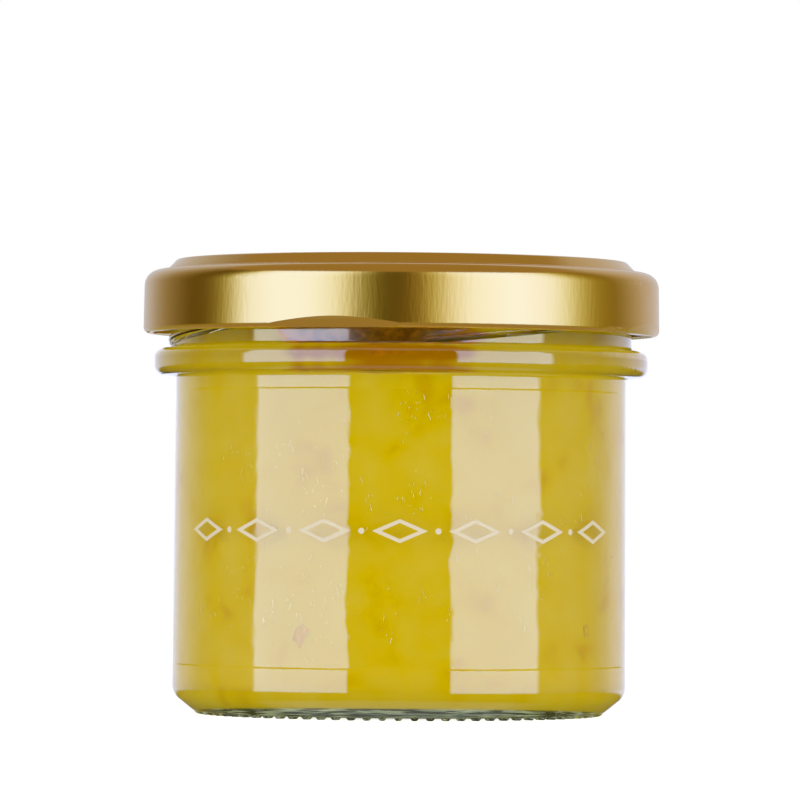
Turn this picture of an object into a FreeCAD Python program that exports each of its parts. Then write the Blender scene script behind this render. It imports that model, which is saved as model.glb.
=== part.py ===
import FreeCAD, Part
import math
import os

import Sketcher

# Squat straight-sided glass jar of lemon paste, closed by a gold twist-off metal lid.
# Millimetres, +Z up, origin at the middle of the foot, on the surface that the jar stands on.
# The front of the jar looks along -Y.
#
# glass_jar    moulded glass: straight body, heel, knurled bearing ring, hollowed foot, bead,
#              neck with four slanting thread ridges, and a rounded sealing rim
# lemon_paste  the filling, up to a crowned top with a slump at the front wall
# lid          drawn tinplate: panel with a button, channel ring, shoulder, skirt and rolled
#              hem that is pinched into four lugs, which hold under the thread ridges
# lid_seal     the soft ring in the lid's channel, pressed over the glass rim

SIZES = [
    # alias, value, what it is
    ("jar_height", 63.1, "foot to sealing rim"),
    ("mouth_radius", 29.6, "inside of the mouth and of the straight body"),
    ("wall", 2.18, "glass thickness of the body under the bead"),
    ("foot_flare", 0.27, "how much wider the body is above the heel"),
    ("neck_wall", 2.95, "glass thickness of the neck"),
    ("neck_height", 11.5, "bead to sealing rim"),
    ("rim_rounding", 1.1, "outer edge of the sealing rim"),
    ("lip_rounding", 0.8, "inner edge of the sealing rim"),
    ("bead_reach", 2.3, "how far the bead stands out from the neck"),
    ("bead_over", 0.3, "height of the bead's upper slope"),
    ("bead_land", 3.4, "height of the bead's upright band"),
    ("bead_under", 0.35, "height of the bead's lower slope"),
    ("bead_rounding", 1.3, "edges of the bead's band"),
    ("bead_fillet", 0.35, "roots of the bead"),
    ("heel_height", 2.45, "rise of the heel's slope"),
    ("heel_inset", 3.05, "bearing ring inside the body's outside"),
    ("heel_rounding", 2.3, "between the heel's slope and the body"),
    ("bearing_width", 2.6, "width of the bearing ring"),
    ("bearing_rounding", 1.5, "between the bearing ring and the heel's slope"),
    ("hollow_step", 0.95, "rise from the bearing ring to the hollow of the foot"),
    ("hollow_dome", 1.1, "further rise to the middle of the hollow"),
    ("floor_height", 2.7, "inner floor, where its corner starts"),
    ("floor_corner", 4.2, "radius between inner wall and inner floor"),
    ("floor_band", 8.5, "width of the sloping edge of the inner floor"),
    ("floor_rise", 0.8, "rise of that sloping edge"),
    ("floor_dome", 1.1, "further rise to the middle of the inner floor"),
    ("knurl_count", 80, "raised bars under the bearing ring"),
    ("knurl_height", 0.35, "how far a bar stands below the bearing ring"),
    ("knurl_length", 1.6, "flat foot of a bar, along the jar's radius"),
    ("knurl_width", 0.6, "flat foot of a bar, along the ring"),
    ("knurl_draft", 40, "slope of a bar's flanks"),
    ("knurl_root", 0.6, "how far a bar reaches up into the ring"),
    ("thread_count", 4, "thread ridges, and lugs of the lid"),
    ("thread_crest", 1.45, "how far a ridge stands out from the neck"),
    ("thread_runout", 0.15, "how far a ridge stands out at its ends"),
    ("thread_root", 0.5, "how far a ridge reaches into the neck"),
    ("thread_width", 1.9, "height of a ridge at its root"),
    ("thread_land", 0.8, "height of a ridge at its crest"),
    ("thread_rounding", 0.5, "crest of a ridge"),
    ("thread_start", 0.65, "middle of a ridge's low end above the bead"),
    ("thread_over", 1.5, "middle of a ridge's high end above the lugs"),
    ("thread_angle", 68, "how far a ridge runs round the neck"),
    ("thread_azimuth", 186, "direction of the first ridge's low end"),
    ("fit", 0.02, "between the pieces that touch"),
    ("headspace", 8.3, "sealing rim to the paste at the wall"),
    ("fill_crown", 1.0, "rise of the paste from the wall to its middle"),
    ("slump_depth", 3.9, "how far the paste slumped at the front wall"),
    ("slump_outset", 22.0, "middle of the slump's curve outside the wall"),
    ("slump_radius", 26.0, "that curve's radius at the slump's floor"),
    ("slump_spread", 4.5, "how much wider the slump is at its top"),
    ("slump_rounding", 2.5, "floor of the slump"),
    ("slump_azimuth", 264.5, "direction of the slump"),
    ("sheet", 0.22, "tinplate thickness"),
    ("skirt_gap", 3.9, "outside of the skirt beyond the neck"),
    ("hem_gap", 2.0, "hem above the bead"),
    ("skirt_flare", 0.15, "how much wider the skirt is at its foot"),
    ("lid_corner", 2.2, "radius between skirt and shoulder"),
    ("shoulder_drop", 1.5, "shoulder below the channel ring"),
    ("channel_outset", 0.8, "channel ring's top edge inside the neck's outside"),
    ("channel_slope", 1.45, "width of the slope outside the channel ring"),
    ("channel_inset", 0.3, "channel ring's top edge inside the mouth"),
    ("channel_rounding", 0.4, "pressed edges of the channel ring"),
    ("panel_slope", 0.9, "width of the slope inside the channel ring"),
    ("panel_drop", 1.0, "panel's rim below the channel ring"),
    ("panel_dish", 0.3, "how far the vacuum pulls the panel down"),
    ("button_radius", 11.0, "outside of the button"),
    ("button_slope", 1.2, "width of the button's slope"),
    ("button_drop", 0.4, "button below the panel"),
    ("seal_thickness", 0.68, "soft ring between glass rim and lid"),
    ("seal_lap", 0.3, "how far the soft ring reaches down past the rim"),
    ("hem_height", 1.6, "rolled hem of the skirt"),
    ("hem_thickness", 1.3, "rolled hem across the radius"),
    ("hem_rounding", 0.8, "outer edge of the hem"),
    ("hem_lip", 0.35, "inner edges of the hem"),
    ("lug_gap", 0.8, "inner face of a lug outside the neck"),
    ("lug_angle", 19, "how far a lug runs round the hem"),
    ("lug_lift", 0.08, "foot of a lug above the foot of the hem"),
    ("lug_height", 1.05, "thickness of a lug"),
    ("lug_rounding", 0.7, "inner face of a lug"),
    ("lug_runout", 0.3, "how far a lug stands in at its ends"),
    ("lug_azimuth", 255, "direction of the first lug"),
    ("dent_depth", 0.72, "how far the hem is pinched in at its foot, at each lug"),
    ("dent_over", 0.12, "how far the cut for that pinch stands clear of the skirt at its top"),
    ("dent_rounding", 5.0, "how the pinch curves in from the skirt to the foot"),
    ("dent_bow", 50.0, "radius of the pinch along the hem, flatter than the hem"),
    ("dent_angle", 36, "how far the cut for the pinch swings, more than its length"),
]
ALIASES = {alias for alias, value, meaning in SIZES}

# Sizes that follow from the driving ones.
NECK_RADIUS = "mouth_radius + neck_wall"
BODY_RADIUS = "mouth_radius + wall"
FOOT_RADIUS = f"{BODY_RADIUS} + foot_flare"
BEARING_RADIUS = f"{FOOT_RADIUS} - heel_inset"
BEAD_TOP = "jar_height - neck_height"
BEAD_ROOT = f"{BEAD_TOP} - bead_over - bead_land - bead_under"
FILL_EDGE = "jar_height - headspace"
LID_FOOT = f"{BEAD_TOP} + hem_gap"
LID_HEIGHT = "neck_height + seal_thickness + sheet - hem_gap"
LID_RADIUS = f"{NECK_RADIUS} + skirt_gap"
CHANNEL_OUTER = f"{NECK_RADIUS} - channel_outset"
CHANNEL_INNER = "mouth_radius - channel_inset"
THREAD_RISE = "hem_gap + lug_height + thread_over - thread_start"

# Where the sheet bends by about 45 degrees, its inner side bends this share of a
# thickness before its outer side does.
BEND = 0.4

# How far a ridge or a lug stands out, section by section, as shares of its full height.
THREAD_SHARES = (0, 0.55, 0.92, 1, 1, 1, 0.92, 0.55, 0)
LUG_SHARES = (0, 0.8, 1, 1, 1, 0.8, 0)


def make_sheet(doc):
    """The driving sizes, one aliased cell each."""
    sheet = doc.addObject("Spreadsheet::Sheet", "Sizes")
    for row, (alias, value, meaning) in enumerate(SIZES, start=1):
        sheet.set(f"A{row}", meaning)
        sheet.set(f"B{row}", str(value))
        sheet.setAlias(f"B{row}", alias)
    doc.recompute()


def sheet_terms(text):
    """The expression with each alias read from the sheet."""
    words = text.replace("(", "( ").replace(")", " )").split()
    return " ".join(f"Sizes.{word}" if word in ALIASES else word for word in words)


def number(obj, text):
    """The value of an expression of aliases, as a plain number."""
    found = obj.evalExpression(sheet_terms(text))
    return float(getattr(found, "Value", found))


def bind(obj, target, text):
    obj.setExpression(target, sheet_terms(text))


def bow_radius(half, rise):
    """The radius of a shallow arc that rises over half its chord."""
    return f"( ( {half} ) ^ 2 + ( {rise} ) ^ 2 ) / ( 2 * ( {rise} ) )"


def new_body(doc, label):
    body = doc.addObject("PartDesign::Body", label)
    body.Label = label
    return body


def origin_item(body, role):
    return next(item for item in body.Origin.OriginFeatures if item.Role == role)


def new_sketch(body, name, turn=None):
    """A sketch in the body's upright XZ plane, turned about the body's axis by an expression."""
    sketch = body.newObject("Sketcher::SketchObject", name)
    sketch.AttachmentSupport = (origin_item(body, "XZ_Plane"), [""])
    sketch.MapMode = "FlatFace"
    if turn:
        upright = FreeCAD.Vector(0, 1, 0)
        rotation = FreeCAD.Rotation(upright, number(sketch, turn))
        sketch.AttachmentOffset = FreeCAD.Placement(FreeCAD.Vector(), rotation)
        bind(sketch, "AttachmentOffset.Rotation.Angle", turn)
    return sketch


def corner(across, up, rounding=None, arc=None, swell=1):
    """A corner of an outline: its place, its rounding, and the arc from it to the next corner.

    An outline runs anticlockwise. An arc with swell 1 bows out of it, and with -1 into it.
    """
    return {"at": (across, up), "rounding": rounding, "arc": arc, "swell": swell}


def arc_between(start, end, radius, swell):
    """An arc from start to end, and the places of start and end on it."""
    chord = end - start
    left = FreeCAD.Vector(-chord.y, chord.x, 0) / chord.Length
    depth = math.sqrt(radius**2 - chord.Length**2 / 4)
    centre = (start + end) * 0.5 + left * swell * depth
    circle = Part.Circle(centre, FreeCAD.Vector(0, 0, 1), radius)
    first = math.atan2(start.y - centre.y, start.x - centre.x)
    last = math.atan2(end.y - centre.y, end.x - centre.x)
    if swell > 0:
        return Part.ArcOfCircle(circle, first, last), 1, 2
    return Part.ArcOfCircle(circle, last, first), 2, 1


def rounding_ends(before, at, after, radius):
    """Where a rounding leaves the two sides of its corner, and which way it turns."""
    back = (before - at).normalize()
    onward = (after - at).normalize()
    reach = radius / math.tan(back.getAngle(onward) / 2)
    turn = onward.x * back.y - onward.y * back.x
    return at + back * reach, at + onward * reach, math.copysign(1, turn)


def hold_point(sketch, item, place, at):
    """Ties a point of the sketch to two expressions."""
    if at[0] == "0":
        sketch.addConstraint(Sketcher.Constraint("PointOnObject", item, place, -2))
    else:
        across = Sketcher.Constraint("DistanceX", -1, 1, item, place, number(sketch, at[0]))
        bind(sketch, f"Constraints[{sketch.addConstraint(across)}]", at[0])
    if at[1] == "0":
        sketch.addConstraint(Sketcher.Constraint("PointOnObject", item, place, -1))
    else:
        up = Sketcher.Constraint("DistanceY", -1, 1, item, place, number(sketch, at[1]))
        bind(sketch, f"Constraints[{sketch.addConstraint(up)}]", at[1])


def hold_radius(sketch, item, text):
    radius = Sketcher.Constraint("Radius", item, number(sketch, text))
    bind(sketch, f"Constraints[{sketch.addConstraint(radius)}]", text)


def draw(sketch, corners):
    """Draws a closed outline through the corners, with every size of it bound to the sheet."""
    count = len(corners)
    spots = [
        FreeCAD.Vector(number(sketch, c["at"][0]), number(sketch, c["at"][1])) for c in corners
    ]
    arrive, leave, turns = list(spots), list(spots), [1] * count
    for i, c in enumerate(corners):
        if c["rounding"]:
            radius = number(sketch, c["rounding"])
            ends = rounding_ends(spots[i - 1], spots[i], spots[(i + 1) % count], radius)
            arrive[i], leave[i], turns[i] = ends
    sides = []
    for i, c in enumerate(corners):
        start, end = leave[i], arrive[(i + 1) % count]
        if c["arc"]:
            shape, first, last = arc_between(start, end, number(sketch, c["arc"]), c["swell"])
            item = sketch.addGeometry(shape, False)
            hold_radius(sketch, item, c["arc"])
            sides.append((item, first, last))
        else:
            sides.append((sketch.addGeometry(Part.LineSegment(start, end), False), 1, 2))
    for i, c in enumerate(corners):
        side_in, _, end_in = sides[i - 1]
        side_out, end_out, _ = sides[i]
        if not c["rounding"]:
            joined = Sketcher.Constraint("Coincident", side_in, end_in, side_out, end_out)
            sketch.addConstraint(joined)
            hold_point(sketch, side_out, end_out, c["at"])
            continue
        radius = number(sketch, c["rounding"])
        shape, first, last = arc_between(arrive[i], leave[i], radius, turns[i])
        item = sketch.addGeometry(shape, False)
        mark = sketch.addGeometry(Part.Point(spots[i]), True)
        hold_point(sketch, mark, 1, c["at"])
        for side, end, own in ((side_in, end_in, first), (side_out, end_out, last)):
            sketch.addConstraint(Sketcher.Constraint("PointOnObject", mark, 1, side))
            sketch.addConstraint(Sketcher.Constraint("Tangent", side, end, item, own))
        hold_radius(sketch, item, c["rounding"])


def turn_profile(body, name, corners, kind="Revolution"):
    """A full turn of an outline about the body's axis, added or cut away."""
    sketch = new_sketch(body, f"{name}_outline")
    draw(sketch, corners)
    feature = body.newObject(f"PartDesign::{kind}", name)
    feature.Profile = sketch
    feature.ReferenceAxis = (sketch, ["V_Axis"])
    feature.Angle = 360
    return feature


def loft_round(body, name, directions, outlines):
    """A bar that runs round the body's axis through upright outlines, one per direction."""
    sketches = []
    for i, (direction, corners) in enumerate(zip(directions, outlines)):
        sketch = new_sketch(body, f"{name}_section_{i}", turn=direction)
        draw(sketch, corners)
        sketches.append(sketch)
    loft = body.newObject("PartDesign::AdditiveLoft", name)
    loft.Profile = sketches[0]
    loft.Sections = sketches[1:]
    return loft


def repeat_round(body, name, feature, count):
    """Copies of a feature, evenly spaced round the body's axis."""
    pattern = body.newObject("PartDesign::PolarPattern", name)
    pattern.Originals = [feature]
    pattern.Axis = (origin_item(body, "Z_Axis"), [""])
    pattern.Angle = 360
    bind(pattern, "Occurrences", count)
    body.Tip = pattern
    return pattern


def jar_outline():
    """Half of the jar's section, from the middle of the foot out, up, over the rim and down."""
    hollow_edge = f"{BEARING_RADIUS} - bearing_width - hollow_step"
    floor_edge = "mouth_radius - floor_band"
    bead = f"{NECK_RADIUS} + bead_reach"
    band_foot = f"{BEAD_ROOT} + bead_under"
    band_top = f"{BEAD_TOP} - bead_over"
    hollow_bow = bow_radius(hollow_edge, "hollow_dome")
    floor_bow = bow_radius(floor_edge, "floor_dome")
    return [
        corner("0", "knurl_height + hollow_step + hollow_dome", arc=hollow_bow, swell=-1),
        corner(hollow_edge, "knurl_height + hollow_step"),
        corner(f"{BEARING_RADIUS} - bearing_width", "knurl_height"),
        corner(BEARING_RADIUS, "knurl_height", rounding="bearing_rounding"),
        corner(FOOT_RADIUS, "knurl_height + heel_height", rounding="heel_rounding"),
        corner(BODY_RADIUS, BEAD_ROOT, rounding="bead_fillet"),
        corner(bead, band_foot, rounding="bead_rounding"),
        corner(bead, band_top, rounding="bead_rounding"),
        corner(NECK_RADIUS, BEAD_TOP, rounding="bead_fillet"),
        corner(NECK_RADIUS, "jar_height", rounding="rim_rounding"),
        corner("mouth_radius", "jar_height", rounding="lip_rounding"),
        corner("mouth_radius", "floor_height", rounding="floor_corner"),
        corner(floor_edge, "floor_height + floor_rise", arc=floor_bow),
        corner("0", "floor_height + floor_rise + floor_dome"),
    ]


def add_knurls(body):
    """Short raised bars under the bearing ring, all round, with flat feet to stand on."""
    sketch = body.newObject("Sketcher::SketchObject", "knurl_foot")
    sketch.AttachmentSupport = (origin_item(body, "XY_Plane"), [""])
    sketch.MapMode = "FlatFace"
    middle = f"{BEARING_RADIUS} - bearing_width / 2"
    blunt = "knurl_length / 2 - knurl_width / 2"
    draw(
        sketch,
        [
            corner(f"{middle} + {blunt}", "knurl_width / 2"),
            corner(f"{middle} - ( {blunt} )", "knurl_width / 2"),
            corner(f"{middle} - knurl_length / 2", "0"),
            corner(f"{middle} - ( {blunt} )", "0 - knurl_width / 2"),
            corner(f"{middle} + {blunt}", "0 - knurl_width / 2"),
            corner(f"{middle} + knurl_length / 2", "0"),
        ],
    )
    bar = body.newObject("PartDesign::Pad", "knurl")
    bar.Profile = sketch
    bind(bar, "Length", "knurl_height + knurl_root")
    bind(bar, "TaperAngle", "knurl_draft")
    repeat_round(body, "knurls", bar, "knurl_count")


def thread_outline(share, way):
    """A ridge's section at a share of its full height, part of the way along its climb."""
    middle = f"{BEAD_TOP} + thread_start + ( {THREAD_RISE} ) * {way}"
    crest = f"{NECK_RADIUS} + thread_runout + ( thread_crest - thread_runout ) * {share}"
    root = f"{NECK_RADIUS} - thread_root"
    return [
        corner(root, f"{middle} - thread_width / 2"),
        corner(crest, f"{middle} - thread_land / 2", arc="thread_rounding"),
        corner(crest, f"{middle} + thread_land / 2"),
        corner(root, f"{middle} + thread_width / 2"),
    ]


def add_threads(body):
    """The slanting ridges that the lid's lugs slide under, with ends that die into the neck."""
    last = len(THREAD_SHARES) - 1
    ways = [i / last for i in range(last + 1)]
    directions = [f"thread_azimuth + thread_angle * {way}" for way in ways]
    outlines = [thread_outline(share, way) for share, way in zip(THREAD_SHARES, ways)]
    ridge = loft_round(body, "thread_ridge", directions, outlines)
    repeat_round(body, "thread_ridges", ridge, "thread_count")


def make_jar(doc):
    body = new_body(doc, "glass_jar")
    turn_profile(body, "jar_wall", jar_outline())
    add_threads(body)
    add_knurls(body)
    return body


def paste_outline():
    """Half of the filling's section, inside the glass by the fit."""
    wall = "mouth_radius - fit"
    floor_edge = "mouth_radius - floor_band"
    floor_bow = bow_radius(floor_edge, "floor_dome")
    floor_top = "floor_height + floor_rise + floor_dome + fit"
    return [
        corner("0", floor_top, arc=floor_bow, swell=-1),
        corner(floor_edge, "floor_height + floor_rise + fit"),
        corner(wall, "floor_height + fit", rounding="floor_corner"),
        corner(wall, FILL_EDGE, arc=bow_radius(wall, "fill_crown")),
        corner("0", f"{FILL_EDGE} + fill_crown"),
    ]


def slump_outline():
    """Half of the section of the round cut that makes the slump, about its upright middle."""
    return [
        corner("0", f"{FILL_EDGE} - slump_depth"),
        corner("slump_radius", f"{FILL_EDGE} - slump_depth", rounding="slump_rounding"),
        corner("slump_radius + slump_spread", f"{FILL_EDGE} + fill_crown"),
        corner("0", f"{FILL_EDGE} + fill_crown"),
    ]


def make_paste(doc):
    """The filling, modelled with its slump on the +X side and then turned to its direction.
    The slump is wide along the wall and shallow in from it."""
    body = new_body(doc, "lemon_paste")
    turn_profile(body, "filling", paste_outline())
    sketch = new_sketch(body, "slump_outline")
    middle = "mouth_radius + slump_outset"
    offset = FreeCAD.Vector(number(sketch, middle), 0, 0)
    sketch.AttachmentOffset = FreeCAD.Placement(offset, FreeCAD.Rotation())
    bind(sketch, "AttachmentOffset.Base.x", middle)
    draw(sketch, slump_outline())
    slump = body.newObject("PartDesign::Groove", "slump")
    slump.Profile = sketch
    slump.ReferenceAxis = (sketch, ["V_Axis"])
    slump.Angle = 360
    bind(body, "Placement.Rotation.Angle", "slump_azimuth")
    return body


def lid_outline():
    """Half of the lid's section above its hem's foot: out along the top, down the skirt,
    round the hem, and back along the inside one sheet away."""
    height = f"( {LID_HEIGHT} )"
    inside = f"{height} - sheet"
    shoulder_edge = f"{CHANNEL_OUTER} + channel_slope"
    panel_edge = f"{CHANNEL_INNER} - panel_slope"
    panel = f"{height} - panel_drop"
    skirt_top = f"{LID_RADIUS} - skirt_flare"
    skirt_inside = f"{LID_RADIUS} - sheet"
    hem_inside = f"{LID_RADIUS} - hem_thickness"
    bend = f"sheet * {BEND}"
    outside = [
        corner(LID_RADIUS, "0", rounding="hem_rounding"),
        corner(skirt_top, f"{height} - shoulder_drop", rounding="lid_corner"),
        corner(shoulder_edge, f"{height} - shoulder_drop", rounding="channel_rounding"),
        corner(CHANNEL_OUTER, height, rounding="channel_rounding"),
        corner(CHANNEL_INNER, height, rounding="channel_rounding"),
        corner(panel_edge, panel, rounding="channel_rounding"),
        corner("button_radius", f"{panel} - panel_dish"),
        corner("button_radius - button_slope", f"{panel} - panel_dish - button_drop"),
        corner("0", f"{panel} - panel_dish - button_drop"),
    ]
    under = [
        corner("0", f"{panel} - panel_dish - button_drop - sheet"),
        corner("button_radius - button_slope", f"{panel} - panel_dish - button_drop - sheet"),
        corner("button_radius", f"{panel} - panel_dish - sheet"),
        corner(f"{panel_edge} + {bend}", f"{panel} - sheet"),
        corner(f"{CHANNEL_INNER} + {bend}", inside),
        corner(f"{CHANNEL_OUTER} - {bend}", inside),
        corner(f"{shoulder_edge} - {bend}", f"{inside} - shoulder_drop"),
        corner(f"{skirt_top} - sheet", f"{inside} - shoulder_drop", rounding="lid_corner - sheet"),
        corner(skirt_inside, "hem_height"),
        corner(hem_inside, "hem_height", rounding="hem_lip"),
        corner(hem_inside, "0", rounding="hem_lip"),
    ]
    return outside + under


def lug_outline(share):
    """A lug's section: from inside the hem in towards the neck, with a bowed inner face."""
    outer = f"{LID_RADIUS} - hem_thickness / 2"
    hem_inside = f"{LID_RADIUS} - hem_thickness"
    reach = "skirt_gap - hem_thickness - lug_gap - lug_runout"
    inner = f"{hem_inside} - lug_runout - ( {reach} ) * {share}"
    return [
        corner(outer, "lug_lift"),
        corner(outer, "lug_lift + lug_height"),
        corner(inner, "lug_lift + lug_height", arc="lug_rounding"),
        corner(inner, "lug_lift"),
    ]


def add_lugs(body):
    """The lugs: the hem pushed inwards, with a wide soft dent left on its outside."""
    last = len(LUG_SHARES) - 1
    directions = [f"lug_angle * {i / last - 0.5}" for i in range(last + 1)]
    outlines = [lug_outline(share) for share in LUG_SHARES]
    lug = loft_round(body, "lug", directions, outlines)
    repeat_round(body, "lugs", lug, "thread_count")

    sketch = new_sketch(body, "dent_outline")
    axis = f"{LID_RADIUS} - dent_depth - dent_bow"
    offset = FreeCAD.Vector(number(sketch, axis), 0, 0)
    sketch.AttachmentOffset = FreeCAD.Placement(offset, FreeCAD.Rotation())
    bind(sketch, "AttachmentOffset.Base.x", axis)
    fall = "( dent_depth + dent_over )"
    top = f"sqrt( 2 * dent_rounding * {fall} - {fall} ^ 2 )"
    draw(
        sketch,
        [
            corner("dent_bow", "0"),
            corner(f"dent_bow + 2 * {fall}", "0"),
            corner(f"dent_bow + 2 * {fall}", top),
            corner(f"dent_bow + {fall}", top, arc="dent_rounding", swell=-1),
        ],
    )
    dent = body.newObject("PartDesign::Groove", "dent")
    dent.Profile = sketch
    dent.ReferenceAxis = (sketch, ["V_Axis"])
    dent.Midplane = True
    bind(dent, "Angle", "dent_angle")
    repeat_round(body, "dents", dent, "thread_count")


def make_lid(doc):
    """The lid, modelled on its hem's foot with a lug on the +X side, then put in its place."""
    body = new_body(doc, "lid")
    turn_profile(body, "lid_sheet", lid_outline())
    add_lugs(body)
    bind(body, "Placement.Base.z", LID_FOOT)
    bind(body, "Placement.Rotation.Angle", "lug_azimuth")
    return body


def seal_outline():
    """Half of the soft ring's section: it fills the lid's channel down past the glass rim."""
    top = "jar_height + seal_thickness - fit"
    low = "jar_height - seal_lap"
    bend = f"sheet * {BEND} + fit"
    fall = "( seal_thickness + seal_lap )"
    outer_slope = "channel_slope / shoulder_drop"
    inner_slope = "panel_slope / panel_drop"
    outer = f"{CHANNEL_OUTER} - ( {bend} )"
    inner = f"{CHANNEL_INNER} + {bend}"
    return [
        corner(f"{inner} - {fall} * {inner_slope}", low),
        corner(f"{outer} + {fall} * {outer_slope}", low),
        corner(outer, top),
        corner(inner, top),
    ]


def rim_outline():
    """The glass rim, wider all round by the fit, as it is pressed into the soft ring."""
    low = "jar_height - 2 * seal_lap"
    top = "jar_height + fit"
    return [
        corner("mouth_radius - fit", low),
        corner(f"{NECK_RADIUS} + fit", low),
        corner(f"{NECK_RADIUS} + fit", top, rounding="rim_rounding + fit"),
        corner("mouth_radius - fit", top, rounding="lip_rounding + fit"),
    ]


def make_seal(doc):
    body = new_body(doc, "lid_seal")
    turn_profile(body, "soft_ring", seal_outline())
    turn_profile(body, "rim_groove", rim_outline(), kind="Groove")
    return body


def check(doc, bodies):
    """Stops before anything is written if a feature failed or a piece isn't one good solid."""
    for obj in doc.Objects:
        if {"Invalid", "Error"} & set(obj.State):
            raise RuntimeError(f"{obj.Name} failed: {obj.State}")
    for body in bodies:
        shape = body.Shape
        if shape.isNull() or not shape.isValid() or len(shape.Solids) != 1:
            raise RuntimeError(f"{body.Label} isn't one valid solid")


def main():
    doc = FreeCAD.newDocument("lemon_paste_jar")
    make_sheet(doc)
    bodies = [make_jar(doc), make_paste(doc), make_lid(doc), make_seal(doc)]
    doc.recompute()
    check(doc, bodies)
    os.makedirs("parts", exist_ok=True)
    for body in bodies:
        body.Shape.exportStep(f"parts/{body.Label}.step")
        box = body.Shape.BoundBox
        print(f"{body.Label}: {body.Shape.Volume:.1f} mm3, z {box.ZMin:.3f} to {box.ZMax:.3f}")


main()
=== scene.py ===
import math
import random

import bpy
from bpy.props import FloatProperty, FloatVectorProperty, IntProperty, PointerProperty
from mathutils import Matrix, Vector, noise


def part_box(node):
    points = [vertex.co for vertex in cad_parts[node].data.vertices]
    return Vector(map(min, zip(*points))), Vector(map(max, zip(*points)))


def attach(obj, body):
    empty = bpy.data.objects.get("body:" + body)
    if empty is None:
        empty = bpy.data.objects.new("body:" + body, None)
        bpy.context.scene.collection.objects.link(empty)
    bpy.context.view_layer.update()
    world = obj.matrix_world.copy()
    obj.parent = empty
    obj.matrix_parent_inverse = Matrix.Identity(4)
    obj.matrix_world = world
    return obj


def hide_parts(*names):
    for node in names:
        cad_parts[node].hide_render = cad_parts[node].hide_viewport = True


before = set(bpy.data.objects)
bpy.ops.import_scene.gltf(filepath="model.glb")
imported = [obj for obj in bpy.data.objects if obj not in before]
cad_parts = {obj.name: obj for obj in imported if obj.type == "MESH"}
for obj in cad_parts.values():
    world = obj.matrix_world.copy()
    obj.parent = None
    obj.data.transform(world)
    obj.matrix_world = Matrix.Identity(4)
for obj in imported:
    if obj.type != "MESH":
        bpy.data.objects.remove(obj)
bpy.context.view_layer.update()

bl_info = {
    "name": "Lemon paste jar",
    "version": (1, 0, 0),
    "blender": (4, 5, 0),
    "location": "View3D > Sidebar > Lemon jar",
    "description": "Finishes a shut glass jar of lemon paste on its CAD frame",
    "category": "Object",
}

MM = 0.001
PASTE_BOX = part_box("lemon_paste")

# the outside of the jar's straight body, which widens a little from its top to the heel
BODY_RADIUS, BODY_FLARE = 31.78 * MM, 0.27 * MM
BODY_TOP, BODY_LENGTH = 47.55 * MM, 44.75 * MM

# the sockets of a Mix node that blends colours
COLOUR_A, COLOUR_B, BLENDED = 6, 7, 2


# ---------------------------------------------------------------- colours and nodes


def linear(code):
    """The linear colour of an sRGB hex code, as sockets and properties hold it."""
    channels = [int(code[i : i + 2], 16) / 255 for i in (0, 2, 4)]
    return tuple(c / 12.92 if c <= 0.04045 else ((c + 0.055) / 1.055) ** 2.4 for c in channels)


def rgba(colour):
    """The colour as a socket takes it, with full cover."""
    return (*colour, 1.0)


def add(tree, kind, settings=None, values=None, links=None):
    """Adds one node with its settings, its plain socket values and its incoming links."""
    node = tree.nodes.new(kind)
    for name, setting in (settings or {}).items():
        setattr(node, name, setting)
    for socket, value in (values or {}).items():
        node.inputs[socket].default_value = value
    for socket, source in (links or {}).items():
        tree.links.new(source, node.inputs[socket])
    return node


def set_ramp(node, stops):
    """Fills a colour ramp with (position, colour) or (position, colour, cover) stops."""
    ramp = node.color_ramp
    while len(ramp.elements) > 1:
        ramp.elements.remove(ramp.elements[-1])
    for i, (position, colour, *cover) in enumerate(stops):
        element = ramp.elements[0] if i == 0 else ramp.elements.new(position)
        element.position = position
        element.color = (*colour, *(cover or [1.0]))
    return node


def new_material(name):
    """A material with an empty node tree, and its output node."""
    material = bpy.data.materials.new(name)
    material.use_nodes = True
    tree = material.node_tree
    tree.nodes.clear()
    return material, tree, add(tree, "ShaderNodeOutputMaterial")


def per_metre(size_mm):
    """A noise or wave scale whose features are this many millimetres across."""
    return 1 / (size_mm * MM)


def mottled(tree, place, size_mm, texture, stops):
    """Colours that wander over a surface with a noise whose features have this size."""
    pattern = add(
        tree, "ShaderNodeTexNoise", values={"Scale": per_metre(size_mm), **texture},
        links={"Vector": place},
    )
    ramp = add(tree, "ShaderNodeValToRGB", links={"Fac": pattern.outputs["Fac"]})
    return set_ramp(ramp, stops).outputs["Color"]


def give(obj, material):
    """Makes the material the object's only one."""
    obj.data.materials.clear()
    obj.data.materials.append(material)


# ---------------------------------------------------------------- sizes and colours


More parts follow.
